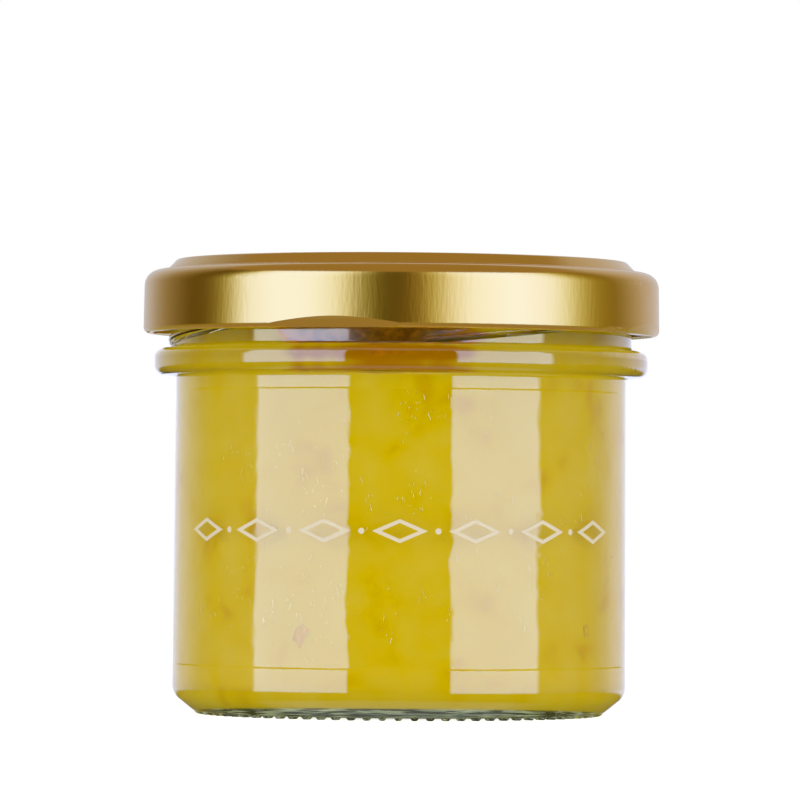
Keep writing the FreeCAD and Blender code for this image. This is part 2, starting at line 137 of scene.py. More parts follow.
class GlassLooks(bpy.types.PropertyGroup):
    tint: FloatVectorProperty(
        name="Tint", description="Colour of the glass", subtype="COLOR", size=3,
        min=0, max=1, default=linear("F8FCFA"),
    )
    base_tint: FloatVectorProperty(
        name="Base tint", description="Colour of the thick glass under the jar's floor",
        subtype="COLOR", size=3, min=0, max=1, default=linear("C9DCC4"),
    )
    coating: FloatVectorProperty(
        name="Coating", description="Tint that the body's coating gives reflections",
        subtype="COLOR", size=3, min=0, max=1, default=(0.52, 0.66, 1.0),
    )
    ripple: FloatProperty(
        name="Ripple", description="Depth of the moulded surface's waves",
        subtype="DISTANCE", unit="LENGTH", default=0.10 * MM, precision=6,
    )
    ripple_size: FloatProperty(
        name="Ripple size", description="Width of the moulded surface's waves",
        subtype="DISTANCE", unit="LENGTH", default=7 * MM,
    )
    panel_foot: FloatProperty(
        name="Panel foot", description="Height at which the faintly raised label panel begins",
        subtype="DISTANCE", unit="LENGTH", default=7.1 * MM,
    )
    panel_top: FloatProperty(
        name="Panel top", description="Height at which the faintly raised label panel ends",
        subtype="DISTANCE", unit="LENGTH", default=45.5 * MM,
    )


class PasteLooks(bpy.types.PropertyGroup):
    yellow: FloatVectorProperty(
        name="Yellow", description="The paste's own colour", subtype="COLOR", size=3,
        min=0, max=1, default=linear("D4B400"),
    )
    pale: FloatVectorProperty(
        name="Pale", description="Where oil and air lighten the paste", subtype="COLOR", size=3,
        min=0, max=1, default=linear("D6B92C"),
    )
    ochre: FloatVectorProperty(
        name="Ochre", description="Where pulp darkens the paste", subtype="COLOR", size=3,
        min=0, max=1, default=linear("CDA600"),
    )
    # Painted shade: this colour stands in for the orange-brown that the paste's open top takes in
    # the lid's shade.
    skin: FloatVectorProperty(
        name="Skin", description="The paste's open top, browned by air", subtype="COLOR", size=3,
        min=0, max=1, default=linear("FA9C14"),
    )
    # A darker orange for the wall just under the slumped top.
    slump_orange: FloatVectorProperty(
        name="Stain", description="Orange oil that has crept down from the slump",
        subtype="COLOR", size=3, min=0, max=1, default=linear("B87C00"),
    )
    # Painted shade and painted light for the paste's underside: the thick glass foot's shade, and
    # the light that the foot gathers from the table.
    foot_painted_shade: FloatVectorProperty(
        name="Foot, dark", description="The underside in the shade of the thick glass",
        subtype="COLOR", size=3, min=0, max=1, default=linear("4C4C2C"),
    )
    foot_painted_light: FloatVectorProperty(
        name="Foot, pale", description="The underside where the foot gathers light",
        subtype="COLOR", size=3, min=0, max=1, default=linear("D2D4B4"),
    )
    reach: FloatProperty(
        name="Reach", description="How far the paste reaches into the glass wall",
        subtype="DISTANCE", unit="LENGTH", default=0.15 * MM,
    )
    slump: FloatProperty(
        name="Slump", description="How far the paste fell at the front wall",
        subtype="DISTANCE", unit="LENGTH", default=4.0 * MM,
    )
    slump_azimuth: FloatProperty(
        name="Slump azimuth", description="Side on which the paste fell, from the front",
        subtype="ANGLE", default=math.radians(-5.5),
    )
    slump_outset: FloatProperty(
        name="Slump outset", description="Middle of the slump's curve outside the wall",
        subtype="DISTANCE", unit="LENGTH", default=22 * MM,
    )
    slump_radius: FloatProperty(
        name="Slump radius", description="That curve's radius at the slump's floor",
        subtype="DISTANCE", unit="LENGTH", default=26 * MM,
    )
    slump_spread: FloatProperty(
        name="Slump spread", description="How much wider the slump is at its top",
        subtype="DISTANCE", unit="LENGTH", default=4.5 * MM,
    )
    crown: FloatProperty(
        name="Crown", description="Rise of the paste from the wall to its middle",
        subtype="DISTANCE", unit="LENGTH", default=1.0 * MM,
    )
    pockets: IntProperty(
        name="Air pockets", description="How many clusters of slivers of air lie on the glass",
        default=110,
    )
    flakes: IntProperty(
        name="Flakes", description="How many flakes of zest show through the glass", default=34
    )


class PrintLooks(bpy.types.PropertyGroup):
    ink: FloatVectorProperty(
        name="Ink", description="Enamel printed on the glass", subtype="COLOR", size=3,
        min=0, max=1, default=linear("DDD0B2"),
    )
    height: FloatProperty(
        name="Height", description="Height of the printed band",
        subtype="DISTANCE", unit="LENGTH", default=3.3 * MM,
    )
    middle: FloatProperty(
        name="Middle", description="Height of the band's middle above the jar's foot",
        subtype="DISTANCE", unit="LENGTH", default=26.0 * MM,
    )
    stroke: FloatProperty(
        name="Stroke", description="Width of the printed lines",
        subtype="DISTANCE", unit="LENGTH", default=0.56 * MM,
    )
    spread: FloatProperty(
        name="Spread", description="Angle that the band takes up round the jar",
        subtype="ANGLE", default=math.radians(128),
    )
    lozenges: IntProperty(name="Lozenges", description="Lozenges in the band", default=7)


class LidLooks(bpy.types.PropertyGroup):
    gold: FloatVectorProperty(
        name="Gold", description="Metal seen through the gold lacquer", subtype="COLOR", size=3,
        min=0, max=1, default=linear("D7B04A"),
    )
    roughness: FloatProperty(
        name="Roughness", description="Satin of the lacquered sheet", min=0, max=1, default=0.15
    )
    film: FloatProperty(
        name="Film", description="Refractive index of the lacquer's gloss", default=1.8
    )
    streak_depth: FloatProperty(
        name="Streak depth", description="Depth of the rolling marks in the sheet",
        subtype="DISTANCE", unit="LENGTH", default=0.012 * MM, precision=6,
    )


class StageLooks(bpy.types.PropertyGroup):
    distance: FloatProperty(
        name="Distance", description="Camera to the jar's axis",
        subtype="DISTANCE", unit="LENGTH", default=0.85,
    )
    eye_height: FloatProperty(
        name="Eye height", description="Camera above the surface that the jar stands on",
        subtype="DISTANCE", unit="LENGTH", default=28.6 * MM,
    )
    frame_width: FloatProperty(
        name="Frame width", description="Width that the camera takes in at the jar's axis",
        subtype="DISTANCE", unit="LENGTH", default=113.15 * MM,
    )
    rise: FloatProperty(
        name="Rise", description="Upward shift of the camera's frame", default=0.14
    )
    roll: FloatProperty(
        name="Roll", description="Turn of the camera about its line of sight",
        subtype="ANGLE", default=math.radians(-0.45),
    )
    lamp_power: FloatProperty(
        name="Lamp power", description="Power of each softbox lamp", unit="POWER", default=1.58
    )
    room_light: FloatProperty(
        name="Room light", description="Light that reaches the jar from all round", default=0.40
    )
    box_tint: FloatVectorProperty(
        name="Softbox tint", description="Colour of the softboxes in reflections",
        subtype="COLOR", size=3, min=0, max=1, default=(0.79, 0.85, 1.0),
    )
    box_in_glass: FloatProperty(
        name="Softbox in glass", description="Brightness of the softboxes in polished glass",
        default=7.8,
    )


# ---------------------------------------------------------------- modelling by hand


def turned_piece(name, section, sides):
    """A closed round piece, drawn up ring by ring from the middle of its underside to the
    middle of its top. The section is a list of (radius, height)."""
    bpy.ops.object.select_all(action="DESELECT")
    radius, height = section[0]
    bpy.ops.mesh.primitive_circle_add(vertices=sides, radius=radius, fill_type="NGON")
    piece = bpy.context.object
    piece.name = piece.data.name = name
    bpy.ops.object.mode_set(mode="EDIT")
    bpy.ops.transform.translate(value=(0, 0, height))
    for next_radius, next_height in section[1:]:
        lift = {"value": (0, 0, next_height - height)}
        bpy.ops.mesh.extrude_region_move(TRANSFORM_OT_translate=lift)
        scale = next_radius / radius
        bpy.ops.transform.resize(value=(scale, scale, 1), center_override=(0, 0, next_height))
        radius, height = next_radius, next_height
    bpy.ops.mesh.merge(type="COLLAPSE")
    bpy.ops.mesh.select_all(action="SELECT")
    bpy.ops.mesh.normals_make_consistent(inside=False)
    bpy.ops.object.mode_set(mode="OBJECT")
    bpy.ops.object.shade_smooth()
    return piece


def spaced(start, end, count):
    """Values from just after start up to and including end."""
    return [start + (end - start) * (i + 1) / count for i in range(count)]


def smooth_step(x):
    """0 below 0, 1 above 1, and an easy rise between them."""
    x = min(max(x, 0.0), 1.0)
    return x * x * (3 - 2 * x)


def at_azimuth(radius, degrees, height):
    """A place at a radius, a direction from the front (rightwards is positive) and a height."""
    angle = math.radians(degrees)
    return Vector((radius * math.sin(angle), -radius * math.cos(angle), height))


def scatter(name, seed, places):
    """One piece made of a copy of the seed, with its own mesh, at each place."""
    copies = []
    for place in places:
        copy = seed.copy()
        copy.data = seed.data.copy()
        copy.data.transform(place)
        bpy.context.scene.collection.objects.link(copy)
        copies.append(copy)
    bpy.data.objects.remove(seed)
    bpy.ops.object.select_all(action="DESELECT")
    for copy in copies:
        copy.select_set(True)
    bpy.context.view_layer.objects.active = copies[0]
    bpy.ops.object.join()
    piece = bpy.context.object
    piece.name = piece.data.name = name
    return piece


def paste_wall(looks):
    """Radius of the paste's side, just inside the glass wall's surface."""
    return PASTE_BOX[1].x + looks.reach


def glass_radius(height):
    """Radius of the outside of the jar's body at a height."""
    return BODY_RADIUS + BODY_FLARE * (BODY_TOP - height) / BODY_LENGTH


def against_wall(radius, degrees, height, size, lean=0.0):
    """Sets a unit seed, whose x runs along the wall, y through it and z up it, at a place on
    the wall, with its size and with its lean in degrees."""
    facing = Matrix.Rotation(math.radians(degrees), 4, "Z")
    tilt = Matrix.Rotation(math.radians(lean), 4, "Y")
    return (
        Matrix.Translation(at_azimuth(radius, degrees, height))
        @ facing @ tilt @ Matrix.Diagonal((*size, 1))
    )


# ---------------------------------------------------------------- materials


def clear_glass(looks):
    """Moulded soda-lime glass, fire-polished: clear and sharply glossy. A faintly raised panel
    round the body has slow waves that make the edges of reflections wander. The foot is
    green, where the glass is thick. Below the finish, the thin coating that guards the body
    against scratches cools its reflections. Light from lamps and from matt surfaces passes
    straight through, so that the paste is lit."""
    material, tree, output = new_material("moulded_soda_lime_glass")
    place = add(tree, "ShaderNodeTexCoord").outputs["Object"]
    height = add(tree, "ShaderNodeSeparateXYZ", links={"Vector": place}).outputs["Z"]
    waves = add(
        tree, "ShaderNodeTexNoise",
        values={"Scale": 1 / looks.ripple_size, "Detail": 3.0, "Roughness": 0.5},
        links={"Vector": place},
    )
    step = 0.1 * MM  # half of the height over which the panel's edge rises
    above_foot = add(
        tree, "ShaderNodeMapRange",
        values={"From Min": looks.panel_foot - step, "From Max": looks.panel_foot + step},
        links={"Value": height},
    )
    above_top = add(
        tree, "ShaderNodeMapRange",
        values={"From Min": looks.panel_top - step, "From Max": looks.panel_top + step},
        links={"Value": height},
    )
    panel = add(
        tree, "ShaderNodeMath", {"operation": "MULTIPLY"},
        links={0: above_foot.outputs["Result"], 1: waves.outputs["Fac"]},
    )
    raised = add(
        tree, "ShaderNodeMix", {"data_type": "FLOAT"}, {"B": 0.9},
        {"Factor": above_top.outputs["Result"], "A": panel.outputs[0]},
    )
    bump = add(
        tree, "ShaderNodeBump", values={"Strength": 1.0, "Distance": looks.ripple},
        links={"Height": raised.outputs["Result"]},
    )
    above_floor = add(
        tree, "ShaderNodeMapRange", values={"From Min": 1.0 * MM, "From Max": 3.4 * MM},
        links={"Value": height},
    )
    colour = set_ramp(
        add(tree, "ShaderNodeValToRGB", links={"Fac": above_floor.outputs["Result"]}),
        [(0.0, looks.base_tint), (1.0, looks.tint)],
    )
    finish = add(
        tree, "ShaderNodeMapRange", values={"From Min": 49.0 * MM, "From Max": 53.0 * MM},
        links={"Value": height},
    )
    gloss = set_ramp(
        add(tree, "ShaderNodeValToRGB", links={"Fac": finish.outputs["Result"]}),
        [(0.0, looks.coating), (1.0, (1.0, 1.0, 0.9))],
    )
    glass = add(
        tree, "ShaderNodeBsdfPrincipled",
        values={"Roughness": 0.0, "IOR": 1.5, "Transmission Weight": 1.0},
        links={
            "Normal": bump.outputs["Normal"], "Base Color": colour.outputs["Color"],
            "Specular Tint": gloss.outputs["Color"],
        },
    )
    clear = add(tree, "ShaderNodeBsdfTransparent", values={"Color": (0.96, 0.98, 0.97, 1)})
    ray = add(tree, "ShaderNodeLightPath")
    passes = add(
        tree, "ShaderNodeMath", {"operation": "MAXIMUM"},
        links={0: ray.outputs["Is Shadow Ray"], 1: ray.outputs["Is Diffuse Ray"]},
    )
    wall = add(
        tree, "ShaderNodeMixShader",
        links={0: passes.outputs[0], 1: glass.outputs[0], 2: clear.outputs[0]},
    )
    tree.links.new(wall.outputs[0], output.inputs["Surface"])
    return material


def lemon_pulp(looks):
    """Blended lemon: dense, slightly translucent pulp that wets the glass, so it has no gloss
    of its own there. Soft patches a few millimetres wide run from clear yellow to paler and
    to ochre. Towards the neck it is darkened a little with painted shade, for the shade of
    the lid's overhang. Just under the slump the wall is a darker orange. The open top has a
    faint wet gloss, and its orange-brown is painted shade, for the lid's shade on it. The
    underside is painted with the green shade of the thick glass foot, and with painted light
    in the paler patches that the foot gathers from the table."""
    material, tree, output = new_material("blended_lemon_pulp")
    place = add(tree, "ShaderNodeTexCoord").outputs["Object"]
    patches = mottled(
        tree, place, 6, {"Detail": 2.5, "Roughness": 0.5, "Distortion": 0.2},
        [(0.28, looks.ochre), (0.40, looks.yellow), (0.70, looks.pale)],
    )
    # Painted shade on the open top: its colour, mottled with a half-as-bright copy, stands in for
    # the lid's shade.
    top_painted_shade = mottled(
        tree, place, 1.6, {"Detail": 3.0, "Roughness": 0.6},
        [(0.35, looks.skin), (0.65, tuple(c * 0.5 for c in looks.skin))],
    )
    is_open = add(tree, "ShaderNodeAttribute", {"attribute_name": "open"}).outputs["Fac"]
    is_below_slump = add(tree, "ShaderNodeAttribute", {"attribute_name": "below_slump"}).outputs["Fac"]
    # The wall just under the slumped top turns a darker orange.
    with_slump_orange = add(
        tree, "ShaderNodeMix", {"data_type": "RGBA"}, {COLOUR_B: rgba(looks.slump_orange)},
        {"Factor": is_below_slump, COLOUR_A: patches},
    )
    axes = add(tree, "ShaderNodeSeparateXYZ", links={"Vector": place})
    # Painted shade: the paste darkens towards the neck, for the shade of the lid's overhang.
    neck = add(
        tree, "ShaderNodeMapRange", values={"From Min": 46 * MM, "From Max": 51 * MM},
        links={"Value": axes.outputs["Z"]},
    )
    neck_painted_shade = add(
        tree, "ShaderNodeMix", {"data_type": "RGBA", "blend_type": "MULTIPLY"},
        {COLOUR_B: (0.80, 0.76, 0.5, 1)},
        {"Factor": neck.outputs["Result"], COLOUR_A: with_slump_orange.outputs[BLENDED]},
    )
    side_and_top = add(
        tree, "ShaderNodeMix", {"data_type": "RGBA"},
        links={"Factor": is_open, COLOUR_A: neck_painted_shade.outputs[BLENDED], COLOUR_B: top_painted_shade},
    )
    # Painted shade and painted light on the underside, in drawn-out patches round the foot.
    away = add(tree, "ShaderNodeVectorMath", {"operation": "LENGTH"}, links={0: place})
    round_foot = add(
        tree, "ShaderNodeCombineXYZ",
        links={"X": axes.outputs["X"], "Y": axes.outputs["Y"], "Z": away.outputs["Value"]},
    )
    drawn_out = add(
        tree, "ShaderNodeMapping", values={"Scale": (0.4, 0.4, 1.8)},
        links={"Vector": round_foot.outputs["Vector"]},
    )
    foot_light_and_shade = mottled(
        tree, drawn_out.outputs["Vector"], 1.8,
        {"Detail": 3.0, "Roughness": 0.6, "Distortion": 0.4},
        [(0.46, looks.foot_painted_shade), (0.64, looks.foot_painted_light)],
    )
    is_under = add(tree, "ShaderNodeAttribute", {"attribute_name": "under"}).outputs["Fac"]
    colour = add(
        tree, "ShaderNodeMix", {"data_type": "RGBA"},
        links={"Factor": is_under, COLOUR_A: side_and_top.outputs[BLENDED], COLOUR_B: foot_light_and_shade},
    )
    gloss = add(tree, "ShaderNodeMath", {"operation": "MULTIPLY"}, {1: 0.05}, {0: is_open})
    body = add(
        tree, "ShaderNodeBsdfPrincipled",
        values={
            "Roughness": 0.3, "IOR": 1.38, "Subsurface Weight": 0.3,
            "Subsurface Scale": 2.0 * MM, "Subsurface Radius": (1.0, 0.75, 0.12),
        },
        links={"Base Color": colour.outputs[BLENDED], "Specular IOR Level": gloss.outputs[0]},
    )
    tree.links.new(body.outputs[0], output.inputs["Surface"])
    return material


def trapped_air():
    """Slivers of air between paste and glass: pale skins that flash where a light is
    mirrored and all but vanish elsewhere."""
    material, tree, output = new_material("trapped_air")
    skin = add(
        tree, "ShaderNodeBsdfPrincipled",
        values={"Base Color": rgba(linear("D8BE34")), "Roughness": 0.08, "IOR": 2.4},
    )
    tree.links.new(skin.outputs[0], output.inputs["Surface"])
    return material


def zest(name, code):
    """A flake of cooked rind or pith, in one of its shades: matt, wetted by the paste, and
    a little darker in its grain."""
    material, tree, output = new_material(name)
    place = add(tree, "ShaderNodeTexCoord").outputs["Object"]
    grain = mottled(
        tree, place, 0.5, {"Detail": 2.0},
        [(0.3, tuple(c * 0.8 for c in linear(code))), (0.7, linear(code))],
    )
    rind = add(
        tree, "ShaderNodeBsdfPrincipled",
        values={"Roughness": 0.5, "Specular IOR Level": 0.0}, links={"Base Color": grain},
    )
    tree.links.new(rind.outputs[0], output.inputs["Surface"])
    return material


def fired_enamel(looks):
    """Screen-printed enamel fired on to the glass: a thin warm white, all but matt."""
    material, tree, output = new_material("fired_enamel")
    enamel = add(
        tree, "ShaderNodeBsdfPrincipled",
        values={"Base Color": rgba(looks.ink), "Roughness": 0.45, "IOR": 1.45},
    )
    tree.links.new(enamel.outputs[0], output.inputs["Surface"])
    return material


def gold_lacquer(looks):
    """Gold lacquer rolled over bright tinplate: satin metal under a clear film whose gloss
    pales the highlights and the edges, with slanting rolling marks that show where the
    light falls off. The film is drawn thin over the flat top in the press, so the top
    stays gold when seen low across."""
    material, tree, output = new_material("gold_lacquered_tinplate")
    place = add(tree, "ShaderNodeTexCoord").outputs["Object"]
    slanted = add(
        tree, "ShaderNodeMapping",
        values={"Rotation": (0, math.radians(-15), 0), "Scale": (1, 1, 0.16)},
        links={"Vector": place},
    )
    streaks = add(
        tree, "ShaderNodeTexNoise",
        values={"Scale": per_metre(0.5), "Detail": 3.0, "Roughness": 0.6},
        links={"Vector": slanted.outputs["Vector"]},
    )
    bump = add(
        tree, "ShaderNodeBump", values={"Strength": 1.0, "Distance": looks.streak_depth},
        links={"Height": streaks.outputs["Fac"]},
    )
    facing = add(
        tree, "ShaderNodeSeparateXYZ",
        links={"Vector": add(tree, "ShaderNodeTexCoord").outputs["Normal"]},
    )
    sloping, level = 0.93, 0.98
    film = add(
        tree, "ShaderNodeMapRange",
        values={"From Min": sloping, "From Max": level, "To Min": 1.0, "To Max": 0.0},
        links={"Value": facing.outputs["Z"]},
    )
    edge = set_ramp(
        add(tree, "ShaderNodeValToRGB", links={"Fac": facing.outputs["Z"]}),
        [(sloping, (1.0, 1.0, 1.0)), (level, linear("E8C060"))],
    )
    metal = add(
        tree, "ShaderNodeBsdfPrincipled",
        values={
            "Base Color": rgba(looks.gold), "Metallic": 1.0, "Roughness": looks.roughness,
            "Coat Roughness": looks.roughness, "Coat IOR": looks.film,
        },
        links={
            "Coat Weight": film.outputs["Result"], "Specular Tint": edge.outputs["Color"],
            "Normal": bump.outputs["Normal"], "Coat Normal": bump.outputs["Normal"],
        },
    )
    tree.links.new(metal.outputs[0], output.inputs["Surface"])
    return material


def seal_compound():
    """Soft moulded sealing ring: off-white and matt."""
    material, tree, output = new_material("moulded_seal_compound")
    place = add(tree, "ShaderNodeTexCoord").outputs["Object"]
    grain = mottled(
        tree, place, 0.6, {"Detail": 2.0}, [(0.35, linear("D8D2C2")), (0.65, linear("E6E1D4"))]
    )
    rubber = add(
        tree, "ShaderNodeBsdfPrincipled",
        values={"Roughness": 0.6, "IOR": 1.5}, links={"Base Color": grain},
    )
    tree.links.new(rubber.outputs[0], output.inputs["Surface"])
    return material


# ---------------------------------------------------------------- the operators


class JAR_OT_finish_glass(bpy.types.Operator):
    """Gives the moulded jar its clear glass"""

    bl_idname = "jar.finish_glass"
    bl_label = "Finish the glass"

    def execute(self, context):
        give(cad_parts["glass_jar"], clear_glass(context.scene.jar_glass))
        return {"FINISHED"}


class JAR_OT_finish_lid(bpy.types.Operator):
    """Gives the lid its gold lacquer and the ring in it its soft compound"""

    bl_idname = "jar.finish_lid"
    bl_label = "Finish the lid"

    SAME_PLACE = 0.002 * MM
    ALIKE = 0.99  # cosine between normals that shade as one surface

    def execute(self, context):
        lid = self.pressed_copy(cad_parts["lid"])
        give(lid, gold_lacquer(context.scene.jar_lid))
        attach(lid, "root")
        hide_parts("lid")
        give(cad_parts["lid_seal"], seal_compound())
        return {"FINISHED"}

    def pressed_copy(self, node):
        """A closed copy of the lid, whose shading runs on over the surface's seams."""
        copy = node.copy()
        copy.data = node.data.copy()
        copy.name = copy.data.name = "pressed_lid"
        bpy.context.scene.collection.objects.link(copy)
        shading = self.shading(copy.data)
        bpy.ops.object.select_all(action="DESELECT")
        copy.select_set(True)
        bpy.context.view_layer.objects.active = copy
        bpy.ops.object.mode_set(mode="EDIT")
        bpy.ops.mesh.select_all(action="SELECT")
        bpy.ops.mesh.remove_doubles(threshold=self.SAME_PLACE / 2)
        bpy.ops.object.mode_set(mode="OBJECT")
        corners = self.corners(copy.data)
        copy.data.normals_split_custom_set([shading[corner] for corner in corners])
        return copy

    def corners(self, mesh):
        """Each triangle corner in the mesh's order: the triangle's places, and its own."""
        places = [tuple(round(c / self.SAME_PLACE) for c in v.co) for v in mesh.vertices]
        for triangle in mesh.polygons:
            around = frozenset(places[i] for i in triangle.vertices)
            for i in triangle.vertices:
                yield around, places[i]

    def shading(self, mesh):
        """The normal of each corner: the average of those at its place that are like it."""
        normals = [corner.vector.copy() for corner in mesh.corner_normals]
        corners = list(self.corners(mesh))
        meeting = {}
        for (around, place), normal in zip(corners, normals):
            meeting.setdefault(place, []).append(normal)
        shading = {}
        for (around, place), normal in zip(corners, normals):
            near = [other for other in meeting[place] if other.dot(normal) > self.ALIKE]
            shading[around, place] = sum(near, Vector()).normalized()
        return shading


class JAR_OT_fill_paste(bpy.types.Operator):
    """Models the lemon paste, with its uneven top and its slump at the front wall"""

    bl_idname = "jar.fill_paste"
    bl_label = "Fill the paste"

    SIDES = 288
    CORNER = 4.35 * MM  # radius between the jar's floor and its wall
    DOME_INSET = 8.5 * MM  # edge of the floor's raised middle, in from the wall
    DOME_RISE = 1.38 * MM  # rise of that middle
    DOME_EDGE = 0.28 * MM  # rise of its edge
    TIP = 0.4 * MM  # innermost ring
    STILL = 8 * MM  # rise up to which the rings keep their height under the uneven top

    def execute(self, context):
        looks = context.scene.jar_paste
        low, high = PASTE_BOX
        wall = paste_wall(looks)
        edge = high.z - looks.crown
        foot = low.z - looks.reach
        paste = turned_piece("paste", self.section(wall, foot, edge), self.SIDES)
        self.shape_top(paste, looks, wall, foot, edge)
        give(paste, lemon_pulp(looks))
        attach(paste, "root")
        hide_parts("lemon_paste")
        return {"FINISHED"}

    def section(self, wall, foot, edge):
        """From the raised middle of the jar's floor, round its corner, up the wall and over
        the level top, which shape_top makes uneven."""
        rings = [(self.TIP, foot + self.DOME_RISE)]
        dome = wall - self.DOME_INSET
        for radius in spaced(self.TIP, dome, 14):
            rise = (self.DOME_RISE - self.DOME_EDGE) * (1 - (radius / dome) ** 2)
            rings.append((radius, foot + self.DOME_EDGE + rise))
        for turn in spaced(0.03, math.pi / 2, 20):
            inwards = self.CORNER * (1 - math.sin(turn))
            upwards = self.CORNER * (1 - math.cos(turn))
            rings.append((wall - inwards, foot + upwards))
        rings += [(wall, height) for height in spaced(foot + self.CORNER, edge, 70)]
        rings += [(radius, edge) for radius in spaced(wall, self.TIP, 60)]
        return rings

    def shape_top(self, paste, looks, wall, foot, edge):
        """Crowns the top, lets it slump at the front wall, lumps it like spooned paste, and
        marks the open top, which is coloured with painted shade, the wall just under the slump,
        which turns a darker orange, and the underside, which is painted with shade and light."""
        middle = wall + looks.slump_outset
        slump_at = at_azimuth(middle, math.degrees(looks.slump_azimuth), 0)
        base = foot + self.STILL
        broad, fine = 170, 480  # lumps to the metre
        is_open = paste.data.attributes.new("open", "FLOAT", "POINT")
        is_below_slump = paste.data.attributes.new("below_slump", "FLOAT", "POINT")
        is_under = paste.data.attributes.new("under", "FLOAT", "POINT")
        for vertex in paste.data.vertices:
            place = vertex.co
            across = Vector((place.x, place.y, 0))
            if place.z < base:
                # marks the underside, which gets painted shade and light
                in_corner = across.length > wall - self.CORNER
                rise = (place.z - foot) / MM if in_corner else 0
                is_under.data[vertex.index].value = 1 - smooth_step((rise - 0.12) / 0.1)
                continue
            lump = noise.noise(across * broad) * 0.9 * MM
            lump += noise.noise(across * fine + Vector((0, 0, 7))) * 0.35 * MM
            away = (across - slump_at).length
            fallen = 1 - smooth_step((away - looks.slump_radius) / looks.slump_spread)
            crown = looks.crown * (1 - (across.length / wall) ** 2)
            top = edge + crown + lump * (0.4 + 0.6 * fallen) - looks.slump * fallen
            is_open.data[vertex.index].value = float(place.z > edge - 0.01 * MM)
            place.z = base + (place.z - base) * (top - base) / (edge - base)
            depth = (top - place.z) / MM + lump / MM
            # how close the wall lies under the slumped top, for its darker orange
            is_below_slump.data[vertex.index].value = fallen * (1 - smooth_step((depth - 1.2) / 1.4))
        paste.data.update()


class JAR_OT_trap_air(bpy.types.Operator):
    """Scatters slivers of air between the paste and the glass"""

    bl_idname = "jar.trap_air"
    bl_label = "Trap the air"

    LOW, HIGH = 8.2, 45  # mm, the glass that the slivers keep to
    SPREAD, SCATTER = 1.9, 2.2  # mm up and degrees round, within a cluster
    # azimuth in degrees and height in mm of the clusters that are placed one by one
    SHOWN = (
        (-25, 19), (-23, 15), (-28, 17), (-18, 12), (-24, 10), (-16, 36), (-15, 41), (0, 43),
        (5, 42), (-19, 30), (26, 20), (30, 31), (22, 40), (34, 14), (17, 25),
    )

    def execute(self, context):
        looks = context.scene.jar_paste
        wall = paste_wall(looks)
        chance = random.Random(41)
        bpy.ops.object.select_all(action="DESELECT")
        bpy.ops.mesh.primitive_uv_sphere_add(segments=8, ring_count=6, radius=0.5)
        bpy.ops.object.shade_smooth()
        seed = bpy.context.object
        places = []
        for cluster in range(looks.pockets):
            if cluster < len(self.SHOWN):
                azimuth, height = self.SHOWN[cluster]
            else:
                azimuth, height = chance.uniform(-180, 180), chance.uniform(10, 44)
            for _ in range(chance.randint(3, 12)):
                length = chance.choice([0.15, 0.2, 0.3, 0.45, 0.6, 1.0]) * MM
                size = (chance.uniform(0.08, 0.2) * MM, 0.08 * MM, length)
                up = min(max(chance.gauss(height, self.SPREAD), self.LOW), self.HIGH)
                along = azimuth + chance.gauss(0, self.SCATTER)
                places.append(against_wall(wall, along, up * MM, size, chance.gauss(0, 14)))
        air = scatter("trapped_air", seed, places)
        give(air, trapped_air())
        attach(air, "root")
        return {"FINISHED"}


class JAR_OT_strew_zest(bpy.types.Operator):
    """Presses flakes of cooked rind against the glass: two large ones at the front, the
    rest strewn round the jar"""

    bl_idname = "jar.strew_zest"
    bl_label = "Strew the zest"

    THICKNESS, SUNK = 0.44 * MM, 0.1 * MM
    # name, colour, and of each flake that is placed one by one its azimuth in degrees, its
    # height, width and length in mm, and its lean in degrees
    SHADES = (
        ("zest_rose", "DAAF38", ((-26.2, 11.7, 2.4, 3.6, 24),)),
        ("zest_orange", "DCB428", ((57.0, 12.3, 1.7, 2.4, -10),)),
        ("zest_brown", "C29A14", ()),
    )

    def execute(self, context):
        looks = context.scene.jar_paste
        wall = paste_wall(looks)
        chance = random.Random(7)
        for name, code, placed in self.SHADES:
            bpy.ops.object.select_all(action="DESELECT")
            bpy.ops.mesh.primitive_ico_sphere_add(subdivisions=3, radius=0.5)
            bpy.ops.object.shade_smooth()
            seed = bpy.context.object
            for vertex in seed.data.vertices:
                ragged = noise.noise(vertex.co * 3.1 + Vector((0, 0, len(code))))
                vertex.co *= 1 + 0.5 * ragged
            spots = list(placed)
            while len(spots) < looks.flakes // len(self.SHADES):
                width = chance.uniform(0.25, 0.6)
                spots.append((
                    chance.uniform(70, 290), chance.uniform(7, 44), width,
                    width * chance.uniform(1.0, 1.8), chance.uniform(-60, 60),
                ))
            flakes = scatter(name, seed, [
                against_wall(
                    wall - self.SUNK, azimuth, height * MM,
                    (width * MM, self.THICKNESS, length * MM), lean,
                )
                for azimuth, height, width, length, lean in spots
            ])
            give(flakes, zest(name, code))
            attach(flakes, "root")
        return {"FINISHED"}


